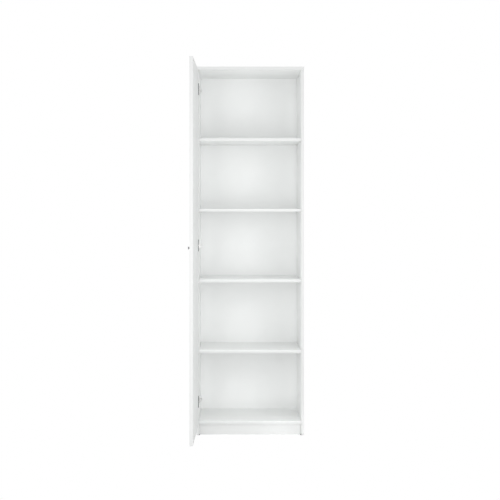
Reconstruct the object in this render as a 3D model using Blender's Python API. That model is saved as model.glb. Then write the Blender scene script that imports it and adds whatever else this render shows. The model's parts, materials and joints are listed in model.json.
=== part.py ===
"""A tall white cupboard: one door on concealed hinges, four shelves, five equal bays.

Metres, +Z up, front towards -Y. The origin is the middle of the plinth's underside.
Every hinge and door piece is placed as with the door shut, then hangs from an empty
on the door's axis, which is turned to the door's open angle.
"""

import math

import bmesh
import bpy
from mathutils import Matrix, Vector

# Carcass
WIDTH = 0.600
HEIGHT = 2.055
CARCASS_DEPTH = 0.400
BOARD = 0.015
TOP_THICKNESS = 0.018
BACK_THICKNESS = 0.003
BACK_INSET = 0.0015
PLINTH_HEIGHT = 0.067
PLINTH_SETBACK = 0.035
EDGE_RADIUS = 0.0006

# Clearances: between pieces that rest on each other, and past the face that a hole opens in
SEAT_GAP = 0.0003
OVERCUT = 0.002

# Shelves and their studs
SHELF_COUNT = 4
SHELF_SETBACK = 0.005
SHELF_BACK_GAP = 0.0005
SHELF_END_GAP = 0.0005
PIN_RADIUS = 0.0025
PIN_DEPTH = 0.008
PIN_HEAD_RADIUS = 0.0035
PIN_HEAD_LENGTH = 0.009
PIN_INSET = 0.037

# Glides under the side panels
GLIDE_HEIGHT = 0.004
GLIDE_RADIUS = 0.0085
GLIDE_INSET = 0.022
GLIDE_FROM_OUTER_FACE = 0.0105
GLIDE_NAIL_RADIUS = 0.0012
GLIDE_NAIL_LENGTH = 0.012
GLIDE_NAIL_POINT = 0.0025

# Carcass screws and plinth dowels
SCREW_LENGTH = 0.050
SCREW_HEAD_RADIUS = 0.005
SCREW_HEAD_DEPTH = 0.004
SCREW_SHANK_RADIUS = 0.0034
SCREW_SHANK_LENGTH = 0.010
SCREW_STEP_LENGTH = 0.001
SCREW_THREAD_RADIUS = 0.0025
SCREW_TIP_LENGTH = 0.003
SCREW_INSET = 0.050
DOWEL_RADIUS = 0.004
DOWEL_LENGTH = 0.030
DOWEL_IN_SIDE = 0.010

# Door
DOOR_THICKNESS = 0.018
DOOR_GAP = 0.0035
DOOR_REVEAL = 0.001
DOOR_TOP_GAP = 0.002
DOOR_BELOW_BOTTOM = 0.004
DOOR_OPEN = math.radians(91.3)

# Knob, on the door's outer face, and the screw that holds it
KNOB_FROM_EDGE = 0.030
KNOB_FROM_DOOR_BOTTOM = 1.001
KNOB_RADIUS = 0.007
KNOB_FOOT_RADIUS = 0.005
KNOB_NECK_RADIUS = 0.0035
KNOB_LENGTH = 0.008
KNOB_HEAD_LENGTH = 0.0045
KNOB_ROUNDING = 0.0012
KNOB_FOOT_LENGTH = 0.0015
KNOB_SCREW_RADIUS = 0.002
KNOB_SCREW_BITE = 0.0045
KNOB_SCREW_HEAD_RADIUS = 0.004
KNOB_SCREW_HEAD_EDGE = 0.0004
KNOB_SCREW_HEAD_DEPTH = 0.0026

# Bumpers on the door's inner face
BUMPER_RADIUS = 0.004
BUMPER_HEIGHT = 0.0027
BUMPER_FROM_END = 0.020

# Hinges: where they sit on the door, and where the door's axis lies in its edge
HINGE_FROM_DOOR_BOTTOM = 0.131
HINGE_FROM_DOOR_TOP = 0.106
AXIS_FROM_EDGE = 0.0062
AXIS_DEPTH = 0.0046

# Hinge cup, in the door
CUP_RADIUS = 0.0172
CUP_FROM_EDGE = 0.0025
CUP_DEPTH = 0.0122
CUP_WALL = 0.0008
RIM_THICKNESS = 0.0012
RIM_WIDTH = 0.0004
FLANGE_THICKNESS = 0.0025
FLANGE_HEIGHT = 0.066
FLANGE_WIDTH = 0.020
FLANGE_OFFSET = 0.0045
HINGE_PIN_RADIUS = 0.0009
HINGE_PIN_LENGTH = 0.014
LUG_WIDTH = 0.006
LUG_TOP_DEPTH = 0.0018

# Hinge arm, on the side panel
ARM_SHEET = 0.0024
EYE_RADIUS = 0.0018
NECK_WIDTH = 0.008
NECK_CLEARANCE = 0.001
ARM_WIDTH = 0.015
ARM_STANDOFF = 0.013
ARM_BEND_START = 0.001
ARM_BEND_END = 0.012
ARM_END = 0.078
CHEEK = 0.0015
ARM_SCREW_FROM_FRONT = 0.062
ARM_SCREW_RADIUS = 0.002
ARM_SCREW_HEAD_RADIUS = 0.0038
ARM_SCREW_HEAD_HEIGHT = 0.0018
ARM_SCREW_BITE = 0.0045

# Hinge mounting plate, on the side panel
PLATE_THICKNESS = 0.0025
PLATE_HEIGHT = 0.054
PLATE_WIDTH = 0.018
PLATE_FROM_FRONT = 0.037
RAIL_START = 0.018
RAIL_END = 0.074

# Facets round a small piece and round a hinge cup, and the angle from which an edge is sharp
SIDES = 12
CUP_SIDES = 56
SHARP_ANGLE = math.radians(35)

# Planes that the pieces line up with
FRONT = -(PLINTH_SETBACK + BOARD / 2)
REAR = FRONT + CARCASS_DEPTH
TOP_UNDERSIDE = HEIGHT - TOP_THICKNESS
BOTTOM_TOP = PLINTH_HEIGHT + BOARD
INNER = WIDTH / 2 - BOARD
BAY_HEIGHT = (TOP_UNDERSIDE - BOTTOM_TOP - SHELF_COUNT * BOARD) / (SHELF_COUNT + 1)

# The shut door's edges, faces and axis
DOOR_LEFT = -WIDTH / 2 + DOOR_REVEAL
DOOR_RIGHT = WIDTH / 2 - DOOR_REVEAL
DOOR_BOTTOM = PLINTH_HEIGHT - DOOR_BELOW_BOTTOM
DOOR_TOP = TOP_UNDERSIDE - DOOR_TOP_GAP
DOOR_INNER = FRONT - DOOR_GAP
DOOR_OUTER = DOOR_INNER - DOOR_THICKNESS
AXIS = Vector((DOOR_LEFT + AXIS_FROM_EDGE, DOOR_INNER - AXIS_DEPTH, 0))

HINGE_LOWER = DOOR_BOTTOM + HINGE_FROM_DOOR_BOTTOM
HINGE_UPPER = DOOR_TOP - HINGE_FROM_DOOR_TOP
HINGES = {
    "lower": HINGE_LOWER,
    "middle": (HINGE_LOWER + HINGE_UPPER) / 2,
    "upper": HINGE_UPPER,
}
SIDE_SIGNS = {"left": -1, "right": 1}
# Each end of the carcass's depth, and the way inwards from it
DEPTH_ENDS = {"front": (FRONT, 1), "rear": (REAR, -1)}


def clear_scene():
    for obj in list(bpy.data.objects):
        bpy.data.objects.remove(obj, do_unlink=True)


def material(name, colour, roughness, metallic=0.0):
    made = bpy.data.materials.new(name)
    made.use_nodes = True
    shader = made.node_tree.nodes["Principled BSDF"]
    shader.inputs["Base Color"].default_value = (*colour, 1.0)
    shader.inputs["Roughness"].default_value = roughness
    shader.inputs["Metallic"].default_value = metallic
    return made


def add_object(name, mesh, location, parent=None, finish=None):
    """Links a mesh at a place given as with the door shut, also under a parent."""
    obj = bpy.data.objects.new(name, mesh)
    bpy.context.scene.collection.objects.link(obj)
    obj.location = Vector(location)
    if parent:
        obj.parent = parent
        obj.location -= parent.location
    if finish:
        mesh.materials.append(finish)
    return obj


def mesh_from(shape, name):
    mesh = bpy.data.meshes.new(name)
    bmesh.ops.recalc_face_normals(shape, faces=shape.faces)
    shape.to_mesh(mesh)
    shape.free()
    return mesh


def box_mesh(name, size):
    shape = bmesh.new()
    bmesh.ops.create_cube(shape, size=1.0)
    bmesh.ops.scale(shape, vec=size, verts=shape.verts)
    return mesh_from(shape, name)


def smooth(mesh):
    mesh.shade_smooth()
    mesh.set_sharp_from_angle(angle=SHARP_ANGLE)


def turned_mesh(name, profile, axis="Z", sides=SIDES):
    """A solid of revolution from (radius, height) points, closed by a flat cap at each end."""
    shape = bmesh.new()
    half_facet = math.pi / sides
    rings = []
    for radius, height in profile:
        ring = []
        for step in range(sides):
            angle = 2 * half_facet * step + half_facet
            ring.append(shape.verts.new((radius * math.cos(angle), radius * math.sin(angle), height)))
        rings.append(ring)
    for lower, upper in zip(rings, rings[1:]):
        for step in range(sides):
            after = (step + 1) % sides
            shape.faces.new((lower[step], lower[after], upper[after], upper[step]))
    shape.faces.new(rings[0])
    shape.faces.new(rings[-1])
    turn = {
        "X": Matrix.Rotation(math.radians(90), 4, "Y"),
        "-X": Matrix.Rotation(math.radians(-90), 4, "Y"),
        "Y": Matrix.Rotation(math.radians(-90), 4, "X"),
        "-Y": Matrix.Rotation(math.radians(90), 4, "X"),
        "Z": Matrix.Identity(4),
        "-Z": Matrix.Rotation(math.radians(180), 4, "X"),
    }[axis]
    bmesh.ops.transform(shape, matrix=turn, verts=shape.verts)
    mesh = mesh_from(shape, name)
    smooth(mesh)
    return mesh


def extruded_mesh(name, outline, height):
    """An outline in the XY plane, raised evenly to both sides of it along Z."""
    shape = bmesh.new()
    corners = [shape.verts.new((x, y, -height / 2)) for x, y in outline]
    base = shape.faces.new(corners)
    raised = bmesh.ops.extrude_face_region(shape, geom=[base])
    lifted = [item for item in raised["geom"] if isinstance(item, bmesh.types.BMVert)]
    bmesh.ops.translate(shape, vec=(0, 0, height), verts=lifted)
    return mesh_from(shape, name)


def bevel(obj, width, segments=2):
    modifier = obj.modifiers.new("edges", "BEVEL")
    modifier.width = width
    modifier.segments = segments
    modifier.limit_method = "ANGLE"


def combine(obj, mesh, location, operation="DIFFERENCE"):
    """Cuts a hidden shape out of an object, or joins it on, at a place given as with the door shut."""
    tool = add_object(f"{obj.name}_{operation.lower()}_{len(obj.modifiers)}", mesh, location, obj.parent)
    tool.hide_render = True
    tool.display_type = "WIRE"
    modifier = obj.modifiers.new(operation.lower(), "BOOLEAN")
    modifier.operation = operation
    modifier.object = tool
    modifier.solver = "EXACT"
    return tool


def board(name, low, high, finish, parent=None):
    """A flat board between two opposite corners, with slightly rounded edges."""
    low, high = Vector(low), Vector(high)
    obj = add_object(name, box_mesh(name, high - low), (low + high) / 2, parent, finish)
    bevel(obj, EDGE_RADIUS, segments=1)
    return obj


def hole_mesh(radius, depth, axis, sides=SIDES):
    """A cutter whose mouth is at its origin, and which goes in along its axis."""
    return turned_mesh("hole", [(radius, -OVERCUT), (radius, depth)], axis, sides)


def shelf_base(number):
    return BOTTOM_TOP + number * BAY_HEIGHT + (number - 1) * BOARD


def pin_places():
    """Each shelf stud: its shelf, its end of the depth, its side, and its axis."""
    shelf_front = FRONT + SHELF_SETBACK
    shelf_rear = REAR - SHELF_BACK_GAP
    for number in range(1, SHELF_COUNT + 1):
        height = shelf_base(number) - SEAT_GAP - PIN_HEAD_RADIUS
        for end, y in (("front", shelf_front + PIN_INSET), ("rear", shelf_rear - PIN_INSET)):
            for side in SIDE_SIGNS:
                yield number, end, side, y, height


def glide_places():
    """Each glide: its end of the depth, its side, and its place on the floor."""
    for end, (edge, inwards) in DEPTH_ENDS.items():
        for side, sign in SIDE_SIGNS.items():
            x = sign * (WIDTH / 2 - GLIDE_FROM_OUTER_FACE)
            yield end, side, (x, edge + inwards * GLIDE_INSET)


def screw_places():
    """Each carcass screw: its panel, its end of the depth, its side, its head and the way it goes in."""
    for end, (edge, inwards) in DEPTH_ENDS.items():
        y = edge + inwards * SCREW_INSET
        for side, sign in SIDE_SIGNS.items():
            yield "top", end, side, (sign * (WIDTH - BOARD) / 2, y, HEIGHT), "-Z"
            into_side = "-X" if sign > 0 else "X"
            yield "bottom", end, side, (sign * WIDTH / 2, y, PLINTH_HEIGHT + BOARD / 2), into_side


def screw_profile(gap=0.0):
    """From the head's face to the tip, grown by a gap where it is a hole."""
    shank_end = SCREW_HEAD_DEPTH + SCREW_SHANK_LENGTH + gap
    thread_end = SCREW_LENGTH - SCREW_TIP_LENGTH
    mouth = -OVERCUT if gap else 0.0
    return [
        (SCREW_HEAD_RADIUS + gap, mouth),
        (SCREW_HEAD_RADIUS + gap, SCREW_HEAD_DEPTH / 4),
        (SCREW_SHANK_RADIUS + gap, SCREW_HEAD_DEPTH + gap),
        (SCREW_SHANK_RADIUS + gap, shank_end),
        (SCREW_THREAD_RADIUS + gap, shank_end + SCREW_STEP_LENGTH + gap),
        (SCREW_THREAD_RADIUS + gap, thread_end + gap),
        (SCREW_THREAD_RADIUS / 3 + gap, SCREW_LENGTH + gap),
    ]


def cut_screw_holes(obj, panels, sides):
    """The part of each carcass screw's hole that lies in this board."""
    for panel, _, side, head, axis in screw_places():
        if panel in panels and side in sides:
            combine(obj, turned_mesh("hole", screw_profile(SEAT_GAP), axis), head)


def make_side_panel(side, sign, finish):
    inner, outer = sorted((sign * INNER, sign * WIDTH / 2))
    panel = board(
        f"side_panel_{side}",
        (inner, FRONT, GLIDE_HEIGHT + SEAT_GAP),
        (outer, REAR, TOP_UNDERSIDE - SEAT_GAP),
        finish,
    )
    into_panel = "X" if sign > 0 else "-X"
    for _, _, pin_side, y, height in pin_places():
        if pin_side == side:
            hole = hole_mesh(PIN_RADIUS + SEAT_GAP, PIN_DEPTH + SEAT_GAP, into_panel)
            combine(panel, hole, (sign * INNER, y, height))
    for _, glide_side, (x, y) in glide_places():
        if glide_side == side:
            hole = hole_mesh(GLIDE_NAIL_RADIUS + SEAT_GAP, GLIDE_NAIL_LENGTH + SEAT_GAP, "Z")
            combine(panel, hole, (x, y, GLIDE_HEIGHT + SEAT_GAP))
    hole = hole_mesh(DOWEL_RADIUS + SEAT_GAP, DOWEL_IN_SIDE + SEAT_GAP, into_panel)
    combine(panel, hole, (sign * INNER, 0, PLINTH_HEIGHT / 2))
    cut_screw_holes(panel, ("top", "bottom"), (side,))


def make_top_panel(finish):
    low = (-WIDTH / 2, DOOR_OUTER, TOP_UNDERSIDE)
    panel = board("top_panel", low, (WIDTH / 2, REAR, HEIGHT), finish)
    cut_screw_holes(panel, ("top",), SIDE_SIGNS)


def make_bottom_panel(finish):
    end = INNER - SEAT_GAP
    panel = board("bottom_panel", (-end, FRONT, PLINTH_HEIGHT), (end, REAR, BOTTOM_TOP), finish)
    cut_screw_holes(panel, ("bottom",), SIDE_SIGNS)


def make_plinth(finish):
    end = INNER - SEAT_GAP
    top = PLINTH_HEIGHT - SEAT_GAP
    plinth = board("plinth", (-end, -BOARD / 2, 0), (end, BOARD / 2, top), finish)
    depth = DOWEL_LENGTH - DOWEL_IN_SIDE + SEAT_GAP
    for side, sign in SIDE_SIGNS.items():
        hole = hole_mesh(DOWEL_RADIUS + SEAT_GAP, depth, "-X" if sign > 0 else "X")
        combine(plinth, hole, (sign * end, 0, PLINTH_HEIGHT / 2))


def make_plinth_dowels(finish):
    chamfer = DOWEL_RADIUS / 4
    start = -DOWEL_IN_SIDE
    end = start + DOWEL_LENGTH
    profile = [
        (DOWEL_RADIUS - chamfer, start),
        (DOWEL_RADIUS, start + chamfer),
        (DOWEL_RADIUS, end - chamfer),
        (DOWEL_RADIUS - chamfer, end),
    ]
    for side, sign in SIDE_SIGNS.items():
        mesh = turned_mesh("dowel", profile, "-X" if sign > 0 else "X")
        add_object(f"plinth_dowel_{side}", mesh, (sign * INNER, 0, PLINTH_HEIGHT / 2), finish=finish)


def make_back_panel(finish):
    half = WIDTH / 2 - BACK_INSET
    front = REAR + SEAT_GAP
    low = (-half, front, PLINTH_HEIGHT)
    board("back_panel", low, (half, front + BACK_THICKNESS, HEIGHT - BACK_INSET), finish)


def make_shelves(finish):
    end = INNER - SHELF_END_GAP
    for number in range(1, SHELF_COUNT + 1):
        base = shelf_base(number)
        low = (-end, FRONT + SHELF_SETBACK, base)
        board(f"shelf_{number}", low, (end, REAR - SHELF_BACK_GAP, base + BOARD), finish)


def make_shelf_pins(finish):
    profile = [
        (PIN_RADIUS - EDGE_RADIUS, -PIN_DEPTH),
        (PIN_RADIUS, -PIN_DEPTH + EDGE_RADIUS),
        (PIN_RADIUS, SEAT_GAP),
        (PIN_HEAD_RADIUS, SEAT_GAP),
        (PIN_HEAD_RADIUS, PIN_HEAD_LENGTH - EDGE_RADIUS),
        (PIN_HEAD_RADIUS - EDGE_RADIUS, PIN_HEAD_LENGTH),
    ]
    for number, end, side, y, height in pin_places():
        sign = SIDE_SIGNS[side]
        mesh = turned_mesh("shelf_pin", profile, "-X" if sign > 0 else "X")
        name = f"shelf_pin_{number}_{end}_{side}"
        add_object(name, mesh, (sign * INNER, y, height), finish=finish)


def make_glides(finish):
    profile = [
        (GLIDE_RADIUS - EDGE_RADIUS, 0),
        (GLIDE_RADIUS, EDGE_RADIUS),
        (GLIDE_RADIUS, GLIDE_HEIGHT),
        (GLIDE_NAIL_RADIUS, GLIDE_HEIGHT),
        (GLIDE_NAIL_RADIUS, GLIDE_HEIGHT + GLIDE_NAIL_LENGTH - GLIDE_NAIL_POINT),
        (GLIDE_NAIL_RADIUS / 4, GLIDE_HEIGHT + GLIDE_NAIL_LENGTH),
    ]
    for end, side, (x, y) in glide_places():
        mesh = turned_mesh("glide", profile)
        add_object(f"glide_{end}_{side}", mesh, (x, y, 0), finish=finish)


def make_carcass_screws(finish):
    for panel, end, side, head, axis in screw_places():
        mesh = turned_mesh("carcass_screw", screw_profile(), axis)
        add_object(f"carcass_screw_{panel}_{end}_{side}", mesh, head, finish=finish)


def knob_place(depth):
    return (DOOR_RIGHT - KNOB_FROM_EDGE, depth, DOOR_BOTTOM + KNOB_FROM_DOOR_BOTTOM)


def cup_place(height):
    return (DOOR_LEFT + CUP_FROM_EDGE + CUP_RADIUS + SEAT_GAP, DOOR_INNER, height)


def knob_screw_profile(gap=0.0):
    """From the door's inner face to the tip in the knob, grown by a gap where it is a hole."""
    mouth = -OVERCUT if gap else 0.0
    return [
        (KNOB_SCREW_HEAD_RADIUS + gap, mouth),
        (KNOB_SCREW_HEAD_RADIUS + gap, KNOB_SCREW_HEAD_EDGE),
        (KNOB_SCREW_RADIUS + gap, KNOB_SCREW_HEAD_DEPTH + gap),
        (KNOB_SCREW_RADIUS + gap, DOOR_THICKNESS + SEAT_GAP + KNOB_SCREW_BITE + gap),
    ]


def make_door(hung, finish):
    low = (DOOR_LEFT, DOOR_OUTER, DOOR_BOTTOM)
    door = board("door", low, (DOOR_RIGHT, DOOR_INNER, DOOR_TOP), finish, hung)
    for height in HINGES.values():
        bore = hole_mesh(CUP_RADIUS + SEAT_GAP, CUP_DEPTH + SEAT_GAP, "-Y", CUP_SIDES)
        combine(door, bore, cup_place(height))
    combine(door, turned_mesh("hole", knob_screw_profile(SEAT_GAP), "-Y"), knob_place(DOOR_INNER))


def make_knob(hung, finish):
    head_start = KNOB_LENGTH - KNOB_HEAD_LENGTH
    profile = [
        (KNOB_FOOT_RADIUS, 0),
        (KNOB_FOOT_RADIUS, KNOB_FOOT_LENGTH / 2),
        (KNOB_NECK_RADIUS, KNOB_FOOT_LENGTH),
        (KNOB_NECK_RADIUS, head_start - KNOB_ROUNDING / 2),
        (KNOB_RADIUS - KNOB_ROUNDING, head_start),
        (KNOB_RADIUS, head_start + KNOB_ROUNDING),
        (KNOB_RADIUS, KNOB_LENGTH - KNOB_ROUNDING),
        (KNOB_RADIUS - KNOB_ROUNDING, KNOB_LENGTH),
    ]
    mesh = turned_mesh("knob", profile, "-Y", 2 * SIDES)
    foot = DOOR_OUTER - SEAT_GAP
    knob = add_object("knob", mesh, knob_place(foot), hung, finish)
    thread = hole_mesh(KNOB_SCREW_RADIUS + SEAT_GAP, KNOB_SCREW_BITE + SEAT_GAP, "-Y")
    combine(knob, thread, knob_place(foot))


def make_knob_screw(hung, finish):
    mesh = turned_mesh("knob_screw", knob_screw_profile(), "-Y")
    add_object("knob_screw", mesh, knob_place(DOOR_INNER), hung, finish)


def make_bumpers(hung, finish):
    profile = [
        (BUMPER_RADIUS, 0),
        (BUMPER_RADIUS, BUMPER_HEIGHT / 2),
        (BUMPER_RADIUS - BUMPER_HEIGHT / 2, BUMPER_HEIGHT),
    ]
    heights = {"lower": DOOR_BOTTOM + BUMPER_FROM_END, "upper": DOOR_TOP - BUMPER_FROM_END}
    for name, height in heights.items():
        mesh = turned_mesh("bumper", profile, "Y")
        place = ((WIDTH - BOARD) / 2, DOOR_INNER + SEAT_GAP, height)
        add_object(f"door_bumper_{name}", mesh, place, hung, finish)


def rounded_outline(half_width, half_length, corner_steps=12):
    """A strip along X with semicircular ends, in the XY plane."""
    straight = half_length - half_width
    points = []
    for end, start_angle in ((straight, -math.pi / 2), (-straight, math.pi / 2)):
        for step in range(corner_steps + 1):
            angle = start_angle + math.pi * step / corner_steps
            points.append((end + half_width * math.cos(angle), half_width * math.sin(angle)))
    return points


def rounded_plate_mesh(name, width, height, thickness, facing):
    """A plate that stands up along Z with round ends, its thin way facing X or Y."""
    mesh = extruded_mesh(name, rounded_outline(width / 2, height / 2), thickness)
    upright = Matrix.Rotation(math.radians(-90), 4, "Y")
    if facing == "Y":
        upright = Matrix.Rotation(math.radians(90), 4, "Z") @ upright
    mesh.transform(upright)
    return mesh


def make_hinge_cup(name, height, hung, finish):
    x, _, z = cup_place(height)
    flange_back = DOOR_INNER + SEAT_GAP
    flange_front = flange_back + FLANGE_THICKNESS
    mesh = rounded_plate_mesh("flange", FLANGE_WIDTH, FLANGE_HEIGHT, FLANGE_THICKNESS, "Y")
    place = (x + FLANGE_OFFSET, (flange_back + flange_front) / 2, z)
    cup = add_object(name, mesh, place, hung, finish)
    rim_radius = CUP_RADIUS + RIM_WIDTH
    rim = [(rim_radius, FLANGE_THICKNESS - RIM_THICKNESS), (rim_radius, FLANGE_THICKNESS)]
    combine(cup, turned_mesh("rim", rim, "-Y", CUP_SIDES), (x, flange_front, z), "UNION")
    cup_bottom = FLANGE_THICKNESS + SEAT_GAP + CUP_DEPTH
    shell = [(CUP_RADIUS, FLANGE_THICKNESS - RIM_THICKNESS / 2), (CUP_RADIUS, cup_bottom)]
    combine(cup, turned_mesh("shell", shell, "-Y", CUP_SIDES), (x, flange_front, z), "UNION")
    bowl = hole_mesh(CUP_RADIUS - CUP_WALL, cup_bottom - CUP_WALL, "-Y", CUP_SIDES)
    hollow = combine(cup, bowl, (x, flange_front, z))
    lug_near = NECK_WIDTH / 2 + 2 * SEAT_GAP
    lug_depth = CUP_DEPTH - LUG_TOP_DEPTH
    for sign in (-1, 1):
        lug = box_mesh("lug", (LUG_WIDTH, lug_depth, CUP_RADIUS))
        middle = DOOR_INNER - LUG_TOP_DEPTH - lug_depth / 2
        combine(hollow, lug, (AXIS.x, middle, z + sign * (lug_near + CUP_RADIUS / 2)))
    radius = HINGE_PIN_RADIUS + SEAT_GAP
    half = HINGE_PIN_LENGTH / 2 + SEAT_GAP
    bore = turned_mesh("pin_hole", [(radius, -half), (radius, half)])
    combine(cup, bore, (AXIS.x, AXIS.y, z))


def make_hinge_pin(name, height, hung, finish):
    half = HINGE_PIN_LENGTH / 2
    mesh = turned_mesh("hinge_pin", [(HINGE_PIN_RADIUS, -half), (HINGE_PIN_RADIUS, half)])
    add_object(name, mesh, (AXIS.x, AXIS.y, height), hung, finish)


def strip_outline(route, thickness):
    """A bent strip of sheet: the route's two sides, mitred at each bend."""
    points = [Vector(point) for point in route]
    near, far = [], []
    for index, point in enumerate(points):
        before = points[max(index - 1, 0)]
        after = points[min(index + 1, len(points) - 1)]
        entering = (point - before if index else after - point).normalized()
        leaving = (after - point if index < len(points) - 1 else point - before).normalized()
        normal = Vector((-(entering + leaving).y, (entering + leaving).x)).normalized()
        across = Vector((-entering.y, entering.x))
        reach = thickness / 2 / normal.dot(across)
        near.append(point + normal * reach)
        far.append(point - normal * reach)
    return [tuple(point) for point in near + far[::-1]]


def arm_sizes():
    """Where the arm's neck and web run, measured across from the door's axis."""
    side_face = -INNER - AXIS.x
    flange_proud = SEAT_GAP + FLANGE_THICKNESS
    neck_x = AXIS_DEPTH + flange_proud + NECK_CLEARANCE + ARM_SHEET / 2
    leg_y = -(EYE_RADIUS - ARM_SHEET / 2)
    web_x = side_face + ARM_STANDOFF - ARM_SHEET / 2
    return side_face, neck_x, leg_y, web_x


def make_hinge_arm(name, height, finish):
    side_face, neck_x, leg_y, web_x = arm_sizes()
    front = FRONT - AXIS.y
    route = [
        (0, leg_y),
        (neck_x, leg_y),
        (neck_x, front + ARM_BEND_START),
        (web_x, front + ARM_BEND_END),
        (web_x, front + ARM_END),
    ]
    axis = (AXIS.x, AXIS.y, height)
    mesh = extruded_mesh("neck", strip_outline(route, ARM_SHEET), NECK_WIDTH)
    arm = add_object(name, mesh, axis, finish=finish)
    eye = turned_mesh("eye", [(EYE_RADIUS, -NECK_WIDTH / 2), (EYE_RADIUS, NECK_WIDTH / 2)])
    combine(arm, eye, axis, "UNION")
    channel_bottom = side_face + PLATE_THICKNESS + 2 * SEAT_GAP
    channel_top = web_x + ARM_SHEET / 2
    channel_start = FRONT + ARM_BEND_END
    length = ARM_END - ARM_BEND_END
    middle_y = channel_start + length / 2
    channel = box_mesh("channel", (channel_top - channel_bottom, length, ARM_WIDTH))
    place = (AXIS.x + (channel_top + channel_bottom) / 2, middle_y, height)
    combine(arm, channel, place, "UNION")
    hollow_top = channel_top - CHEEK
    hollow_bottom = channel_bottom - OVERCUT
    size = (hollow_top - hollow_bottom, length + 2 * OVERCUT, ARM_WIDTH - 2 * CHEEK)
    place = (AXIS.x + (hollow_top + hollow_bottom) / 2, middle_y + CHEEK + 2 * OVERCUT, height)
    combine(arm, box_mesh("hollow", size), place)
    bore = HINGE_PIN_RADIUS + SEAT_GAP
    half = NECK_WIDTH / 2 + OVERCUT
    combine(arm, turned_mesh("eye_hole", [(bore, -half), (bore, half)]), axis)
    place = (AXIS.x + channel_top, FRONT + ARM_SCREW_FROM_FRONT, height)
    combine(arm, hole_mesh(ARM_SCREW_RADIUS + SEAT_GAP, 2 * CHEEK, "-X"), place)


def make_hinge_plate(name, height, finish):
    _, _, _, web_x = arm_sizes()
    face = -INNER + SEAT_GAP
    mesh = rounded_plate_mesh("plate", PLATE_WIDTH, PLATE_HEIGHT, PLATE_THICKNESS, "X")
    place = (face + PLATE_THICKNESS / 2, FRONT + PLATE_FROM_FRONT, height)
    plate = add_object(name, mesh, place, finish=finish)
    rail_top = AXIS.x + web_x + ARM_SHEET / 2 - CHEEK - SEAT_GAP
    rail_width = ARM_WIDTH - 2 * CHEEK - 2 * SEAT_GAP
    rail = box_mesh("rail", (rail_top - face, RAIL_END - RAIL_START, rail_width))
    place = ((rail_top + face) / 2, FRONT + (RAIL_START + RAIL_END) / 2, height)
    combine(plate, rail, place, "UNION")
    place = (rail_top, FRONT + ARM_SCREW_FROM_FRONT, height)
    combine(plate, hole_mesh(ARM_SCREW_RADIUS + SEAT_GAP, ARM_SCREW_BITE + SEAT_GAP, "-X"), place)


def make_hinge_screw(name, height, finish):
    _, _, _, web_x = arm_sizes()
    head = ARM_SCREW_HEAD_HEIGHT
    profile = [
        (ARM_SCREW_HEAD_RADIUS - head / 3, -head),
        (ARM_SCREW_HEAD_RADIUS, -head * 2 / 3),
        (ARM_SCREW_HEAD_RADIUS, 0),
        (ARM_SCREW_RADIUS, 0),
        (ARM_SCREW_RADIUS, SEAT_GAP + CHEEK + ARM_SCREW_BITE),
    ]
    seat = AXIS.x + web_x + ARM_SHEET / 2 + SEAT_GAP
    mesh = turned_mesh("hinge_screw", profile, "-X")
    add_object(name, mesh, (seat, FRONT + ARM_SCREW_FROM_FRONT, height), finish=finish)


def main():
    clear_scene()
    white = material("white_board", (0.86, 0.87, 0.87), 0.42)
    white_back = material("white_hardboard", (0.84, 0.85, 0.85), 0.55)
    nickel = material("nickel_plated_steel", (0.72, 0.72, 0.715), 0.30, 1.0)
    dark_nickel = material("dark_nickel_steel", (0.20, 0.20, 0.205), 0.38, 1.0)
    zinc = material("zinc_plated_steel", (0.60, 0.60, 0.58), 0.40, 1.0)
    grey_metal = material("satin_grey_metal", (0.36, 0.36, 0.37), 0.35, 0.8)
    black_plastic = material("black_plastic", (0.05, 0.05, 0.05), 0.55)
    clear_rubber = material("milky_rubber", (0.80, 0.80, 0.78), 0.45)
    beech = material("beech_dowel", (0.66, 0.49, 0.31), 0.65)

    for side, sign in SIDE_SIGNS.items():
        make_side_panel(side, sign, white)
    make_top_panel(white)
    make_bottom_panel(white)
    make_plinth(white)
    make_back_panel(white_back)
    make_shelves(white)
    make_shelf_pins(nickel)
    make_glides(black_plastic)
    make_carcass_screws(zinc)
    make_plinth_dowels(beech)

    hung = bpy.data.objects.new("door_axis", None)
    bpy.context.scene.collection.objects.link(hung)
    hung.location = AXIS
    hung.rotation_euler.z = -DOOR_OPEN
    make_door(hung, white)
    make_knob(hung, grey_metal)
    make_knob_screw(hung, zinc)
    make_bumpers(hung, clear_rubber)
    for place, height in HINGES.items():
        make_hinge_cup(f"hinge_{place}_cup", height, hung, dark_nickel)
        make_hinge_pin(f"hinge_{place}_pin", height, hung, zinc)
        make_hinge_arm(f"hinge_{place}_arm", height, nickel)
        make_hinge_plate(f"hinge_{place}_plate", height, nickel)
        make_hinge_screw(f"hinge_{place}_screw", height, zinc)


main()
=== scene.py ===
"""The white cupboard's finish, hardware and light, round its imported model.

Metres, +Z up, front towards -Y, in the model's own frame. The door's pieces are built as
with the door shut and then turned to its open place.
"""

import json
import math

import bmesh
import bpy
from mathutils import Matrix, Vector

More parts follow.
